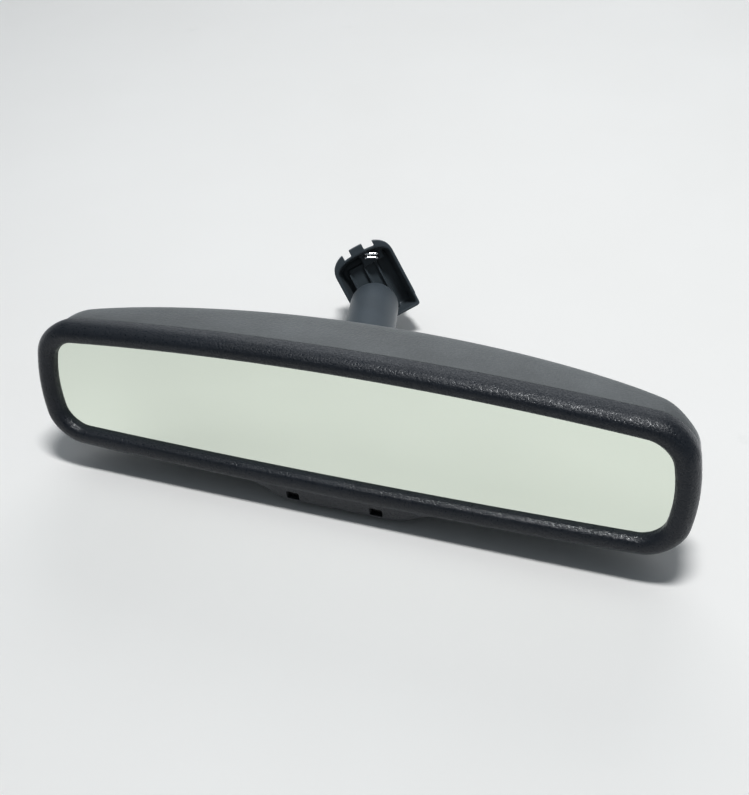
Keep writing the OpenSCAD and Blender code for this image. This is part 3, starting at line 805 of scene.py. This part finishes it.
def rim_path(g, up, x0, x1):
    """Points along the crown from x0 to x1, running on down a side where an end is None."""
    w = FOOT_W / 2 + g
    curve = [p for p in crown_curve(g, up, 96)[::-1]
             if (x0 is None or p[0] > x0 + 1e-6) and (x1 is None or p[0] < x1 - 1e-6)]
    side = [SIDE_RIM_LOW + (CROWN_Y - SIDE_RIM_LOW) * k / 8 for k in range(8)]
    start = [(-w, y) for y in side] if x0 is None else [(x0, crown_height(x0, g, up))]
    end = [(w, y) for y in side[::-1]] if x1 is None else [(x1, crown_height(x1, g, up))]
    return start + curve + end


def stacked(name, levels, place, material):
    """A closed solid through outlines stacked at given heights."""
    n = len(levels[0][0])
    points = [(x, y, z) for ring, z in levels for x, y in ring]
    faces = [(k * n + i, k * n + (i + 1) % n, (k + 1) * n + (i + 1) % n, (k + 1) * n + i)
             for k in range(len(levels) - 1) for i in range(n)]
    last = (len(levels) - 1) * n
    faces += [tuple(range(n - 1, -1, -1)), tuple(range(last, last + n))]
    return mesh_piece(name, points, faces, place, material)


def tab_piece(x0, x1, mats):
    """One part of the crown's flange."""
    ring = rim_path(0.1 * MM, CROWN_REACH, x0, x1) + rim_path(-TAB_WALL, 0, x0, x1)[::-1]
    return prism("tab", ring, TAB_LOW, FOOT_H, FOOT, mats["foot"])


def joined(pieces):
    """One object from several, by merging their meshes."""
    work = bmesh.new()
    for piece in pieces:
        work.from_mesh(piece.data)
    first = pieces[0]
    work.to_mesh(first.data)
    work.free()
    for piece in pieces[1:]:
        bpy.data.objects.remove(piece)
    return first


def foot_tray(material):
    """The open tray: its drafted outside, its rounded rim, and its inside down to the floor."""
    draft, wall, top = FOOT_DRAFT, FOOT_WALL, FOOT_H
    levels = [(tray_outline(-draft - 0.4 * MM), 0), (tray_outline(-draft), 0.4 * MM),
              (tray_outline(-0.1 * MM), top - RIM_ROUND),
              (tray_outline(-0.35 * MM), top - 0.1 * MM), (tray_outline(-0.9 * MM), top),
              (tray_outline(-wall + 0.3 * MM), top - 0.15 * MM),
              (tray_outline(-wall), top - RIM_ROUND),
              (tray_outline(-draft - wall + 0.5 * MM), FOOT_BASE + 0.6 * MM),
              (tray_outline(-draft - wall - 0.3 * MM), FOOT_BASE)]
    return stacked("foot_moulding", levels, FOOT, material)


def foot_inside(material):
    """What stands on the tray's floor: ribs, plateau, ledge under the crown and screw boss."""
    low = FOOT_BASE - ROOT
    parts = []
    for x in RIBS:
        root = box_outline(x, RIB_Y, 1.3 * MM, 23.5 * MM, 0.3 * MM, 2)
        tip = box_outline(x, RIB_Y, 0.95 * MM, 23.1 * MM, 0.3 * MM, 2)
        parts.append(stacked("rib", [(root, low), (tip, RIB_TOP)], FOOT, material))
    plateau = box_outline((RIBS[0] + RIBS[2]) / 2, PLATEAU_Y, RIBS[2] - RIBS[0], PLATEAU_LENGTH)
    parts.append(prism("plateau", plateau, low, PLATEAU_TOP, FOOT, material))
    step = (LEDGE_FROM - LEDGE_TO) / LEDGE_STEPS
    ledge = [(x, crown_height(x, -FOOT_DRAFT))
             for x in (LEDGE_FROM - step * k for k in range(LEDGE_STEPS + 1))]
    ledge += [(LEDGE_TO, LEDGE_EDGE_Y), (LEDGE_FROM, LEDGE_EDGE_Y)]
    parts.append(prism("ledge", ledge, LEDGE_LOW, LEDGE_TOP, FOOT, material))
    boss = circle_outline(*SET_SCREW, BOSS_R, 32)
    parts.append(prism("boss", boss, low, BOSS_TOP, FOOT, material))
    return parts


def foot_rails(material):
    """The button channel behind the tray: two undercut rails joined by a bridge."""
    parts = [prism("rail", [(side * x, z) for x, z in RAIL], RAIL_FROM, RAIL_TO, FOOT @ UPRIGHT,
                   material) for side in (-1, 1)]
    bridge = box_outline(0, BRIDGE_Y, BRIDGE_W, BRIDGE_L)
    parts.append(prism("bridge", bridge, RAIL[1][1], RAIL[0][1], FOOT, material))
    return parts


def foot_cutters(material):
    """Holes for the stud, the set screw and the clip's legs, and room for the stud's flange."""
    holes = [circle_outline(FOOT_BALL.x, FOOT_BALL.y, STUD_HOLE_R, 32),
             circle_outline(*SET_SCREW, SET_SCREW_HOLE_R, 32)]
    cutters = [prism("foot_cutter", hole, -6 * MM, 9 * MM, FOOT, material) for hole in holes]
    room = circle_outline(FOOT_BALL.x, FOOT_BALL.y, STUD_ROOM_R, 48)
    cutters.append(prism("stud_cutter", room, FOOT_BASE, 20 * MM, FOOT, material))
    for x in (-CLIP_HALF, CLIP_HALF):
        for y in (-CLIP_GAP, CLIP_GAP):
            leg = circle_outline(x, y, CLIP_WIRE + 0.08 * MM, 16)
            cutters.append(prism("leg_cutter", leg, CLIP_LOW - 0.1 * MM, 14 * MM, clip_place(),
                                 material))
    return cutters


def foot_shell(mats):
    """One moulding: its parts are melted together by a fine remesh, then cut."""
    material = mats["foot"]
    parts = [foot_tray(material)] + [tab_piece(*ends, mats) for ends in TABS]
    piece = joined(parts + foot_inside(material) + foot_rails(material))
    remesh = piece.modifiers.new("blend", "REMESH")
    remesh.mode = "VOXEL"
    remesh.voxel_size = VOXEL
    relax = piece.modifiers.new("relax", "SMOOTH")
    relax.factor = 0.5
    relax.iterations = 3
    bake_modifiers(piece)
    cut(piece, foot_cutters(material))
    piece.data.materials.clear()
    piece.data.materials.append(material)
    shade(piece, 40)
    return put(piece, "foot", "foot_shell", slot="foot_plastic")


def tube_along(name, path, radius, place, material, sides=16):
    """A round wire along a path of points, with flat ends."""
    points, faces = [], []
    path = [Vector(p) for p in path]
    side = None
    for i, p in enumerate(path):
        ahead = (path[min(i + 1, len(path) - 1)] - path[max(i - 1, 0)]).normalized()
        side = ahead.orthogonal() if side is None else side - ahead * side.dot(ahead)
        side.normalize()
        other = ahead.cross(side)
        for k in range(sides):
            a = 2 * math.pi * k / sides
            points.append(p + radius * (math.cos(a) * side + math.sin(a) * other))
    for i in range(len(path) - 1):
        for k in range(sides):
            a, b = i * sides + k, i * sides + (k + 1) % sides
            faces.append((a, b, b + sides, a + sides))
    faces += [tuple(range(sides - 1, -1, -1)), tuple(range(len(points) - sides, len(points)))]
    return mesh_piece(name, points, faces, place, material)


def clip_place():
    """Axes of the wire clip: X along its bars."""
    turn = Matrix.Rotation(math.radians(CLIP_TURN), 4, "Z")
    return FOOT @ Matrix.Translation((*CLIP_AT, 0)) @ turn


def spring_clip(mats):
    """Two bright wire staples with bent shoulders."""
    bars = []
    turn = [math.pi / 2 * k / 6 for k in range(7)]
    shoulder = [(-CLIP_HALF + CLIP_BEND * (1 - math.cos(a)), CLIP_Z - CLIP_BEND * (1 - math.sin(a)))
                for a in turn]
    path = [(-CLIP_HALF, CLIP_LOW)] + shoulder
    path += [(-x, z) for x, z in path[::-1]]
    for y in (-CLIP_GAP, CLIP_GAP):
        route = [(x, y, z) for x, z in path]
        bars.append(tube_along("clip_wire", route, CLIP_WIRE, clip_place(), mats["bright"]))
    piece = joined(bars)
    piece.name = "clip_wires"
    shade(piece, 50)
    return put(piece, "foot", "foot_spring_clip", slot="clip_chrome")


# ---------------------------------------------------------------- coil spring
COIL_END = 11.1 * MM            # from each ball's centre to the spring's end
COIL_R = 6 * MM
COIL_WIRE = 0.8 * MM
COIL_TURNS = 6
COIL_STEPS = 40


def coil_spring(mats):
    """The spring between the seats, along the arm's axis."""
    rise = (ARM_LEN - 2 * COIL_END) / (COIL_TURNS * COIL_STEPS)
    path = []
    for i in range(COIL_TURNS * COIL_STEPS + 1):
        a = 2 * math.pi * i / COIL_STEPS
        path.append((COIL_R * math.cos(a), COIL_R * math.sin(a), COIL_END + rise * i))
    piece = tube_along("coil_wire", path, COIL_WIRE, ARM, mats["spring"], 12)
    return put(piece, "arm", "arm_spring", slot="spring_steel")


# ---------------------------------------------------------------- CAD nodes that keep their shape
KEPT = {
    "glass_front": "glass", "glass_rear": "rear_glass", "ec_seal": "seal", "bus_clips": "bronze",
    "bus_leads": "bronze", "glass_adhesive_pad": "pad", "connector_pins": "gold",
    "ambient_lens": "lens", "glare_window": "window", "indicator_window": "window",
    "head_seat_front": "nylon", "head_seat_rear": "nylon", "foot_seat_front": "nylon",
    "foot_seat_rear": "nylon"}
# Hard pieces that get a real broken edge, and its width in millimetres
EASED = {
    "carrier_frame": ("frame", 0.2), "circuit_board": ("board", 0.1),
    "board_components": ("chip", 0.15), "board_screws": ("zinc", 0.15),
    "connector_header": ("header", 0.25), "ambient_sensor": ("chip", 0.15),
    "chin_board": ("board", 0.1), "glare_sensor": ("chip", 0.12), "indicator_led": ("led", 0.25),
    "ball_plate": ("steel", 0.25), "plate_screws": ("zinc", 0.25), "stud_nut": ("zinc", 0.3),
    "spring_caps": ("zinc", 0.15), "foot_channel_plate": ("steel", 0.15),
    "foot_set_screw": ("oxide", 0.2)}
BREAK_ANGLE = 40                # edges sharper than this many degrees are broken


def keep_nodes(mats):
    """Gives the CAD nodes that stay their materials."""
    for node, key in KEPT.items():
        piece = frame["nodes"][node]
        piece.data.materials.clear()
        piece.data.materials.append(mats[key])


def ease_nodes(mats):
    """Copies a CAD node, breaks its sharp edges and shows the copy in its place."""
    slots = {s["node"]: s["material_slot"] for s in frame["record"]["subparts"]}
    for node, (key, width) in EASED.items():
        source = frame["nodes"][node]
        mesh = source.data.copy()
        work = bmesh.new()
        work.from_mesh(mesh)
        bmesh.ops.remove_doubles(work, verts=work.verts, dist=1e-6)
        bmesh.ops.dissolve_limit(work, angle_limit=math.radians(0.5), verts=work.verts,
                                 edges=work.edges)
        work.to_mesh(mesh)
        work.free()
        piece = bpy.data.objects.new(node + "_eased", mesh)
        bpy.context.scene.collection.objects.link(piece)
        step = piece.modifiers.new("ease", "BEVEL")
        step.width = width * MM
        step.segments = 2
        step.limit_method = "ANGLE"
        step.angle_limit = math.radians(BREAK_ANGLE)
        bake_modifiers(piece)
        piece.data.materials.clear()
        piece.data.materials.append(mats[key])
        shade(piece)
        put(piece, source["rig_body"], node, slot=slots[node])


# ---------------------------------------------------------------- stage
FLOOR_HALF = 6.0
# Lamps: place from the middle of the head, then length and width in metres, and watts
KEY = (Vector((0.15, 0.02, 1.29)), 0.38, 0.16, 12.9)
WINDOW = (Vector((-0.35, 1.6, 0.9)), 1.8, 1.0, 8.5)
ROOM_COLOUR = (0.84, 0.93, 1.0, 1)
ROOM_LOW = 0.23                 # strength at the horizon
ROOM_HIGH = 0.31                # strength overhead
GAMMA = 0.75


def stage_floor():
    """A plain pale floor at the lowest point of the object."""
    low, s = cad_box[0][2], FLOOR_HALF
    points = [(-s, -s, low), (s, -s, low), (s, s, low), (-s, s, low)]
    n = Nodes("floor_paint")
    patch = n.noise(3.5, 4, 0.6)
    mark = n.noise(26, 5, 0.7)
    base = n.mix(n.ramp(patch, 0, 1, 0.3, 0.7), (0.825, 0.815, 0.80, 1), (0.85, 0.842, 0.83, 1))
    base = n.mix(n.ramp(mark, 0, 0.3, 0.68, 0.82), base, (0.68, 0.69, 0.67, 1))
    n.link(base, n.shader.inputs["Base Color"])
    n.link(n.bump(mark, 0.15, 0.6 * MM), n.shader.inputs["Normal"])
    n.set(Roughness=0.7, Specular_IOR_Level=0.2)
    floor = mesh_piece("floor", points, [(0, 1, 2, 3)], Matrix.Identity(4), n.material)


def area_light(name, at, target, length, width, watts):
    """An oval lamp at a place, turned to its target, with its long axis near the world's X."""
    data = bpy.data.lights.new(name, "AREA")
    data.shape = "ELLIPSE"
    data.size = length
    data.size_y = width
    data.energy = watts
    light = bpy.data.objects.new(name, data)
    ahead = (at - target).normalized()
    along = (Vector((1, 0, 0)) - ahead * ahead.x).normalized()
    light.matrix_world = basis(along, ahead.cross(along), ahead, at)
    bpy.context.scene.collection.objects.link(light)


def studio():
    """A long narrow lamp almost overhead, soft light from behind, and a dim room."""
    middle = HEAD.translation
    for name, (offset, length, width, watts) in (("key", KEY), ("window", WINDOW)):
        area_light(name, middle + offset, middle, length, width, watts)
    world = bpy.data.worlds.new("room")
    world.use_nodes = True
    tree = world.node_tree
    place = tree.nodes.new("ShaderNodeTexCoord")
    split = tree.nodes.new("ShaderNodeSeparateXYZ")
    height = tree.nodes.new("ShaderNodeMapRange")
    for name, value in (("From Min", 0.0), ("From Max", 1.0), ("To Min", ROOM_LOW),
                        ("To Max", ROOM_HIGH)):
        height.inputs[name].default_value = value
    tree.links.new(place.outputs["Generated"], split.inputs["Vector"])
    tree.links.new(split.outputs["Z"], height.inputs["Value"])
    background = tree.nodes["Background"]
    background.inputs["Color"].default_value = ROOM_COLOUR
    tree.links.new(height.outputs["Result"], background.inputs["Strength"])
    bpy.context.scene.world = world
    bpy.context.scene.view_settings.view_transform = "Standard"
    bpy.context.scene.view_settings.gamma = GAMMA


CAMERA_OFFSET = Vector((139.6, -273.8, 270.1)) * MM
CAMERA_AZIMUTH = 24.17
CAMERA_ELEVATION = 39.73
CAMERA_ROLL = -6.41
CAMERA_LENS = 50.66


def camera():
    """The camera, where the offset and angles put it about the head."""
    data = bpy.data.cameras.new("camera")
    data.lens = CAMERA_LENS
    data.sensor_width = 36
    data.clip_start = 0.01
    item = bpy.data.objects.new("camera", data)
    turn = (Matrix.Rotation(math.radians(CAMERA_AZIMUTH), 4, "Z")
            @ Matrix.Rotation(math.radians(90 - CAMERA_ELEVATION), 4, "X")
            @ Matrix.Rotation(math.radians(CAMERA_ROLL), 4, "Z"))
    item.matrix_world = Matrix.Translation(HEAD.translation + CAMERA_OFFSET) @ turn
    bpy.context.scene.collection.objects.link(item)
    bpy.context.scene.camera = item


# ---------------------------------------------------------------- build
camera()
studio()
stage_floor()
materials = {**plastics(), **metals(), **glass_and_soft()}
bezel(materials)
case(materials)
arm_tube(materials)
studs(materials)
foot_shell(materials)
spring_clip(materials)
coil_spring(materials)
keep_nodes(materials)
ease_nodes(materials)
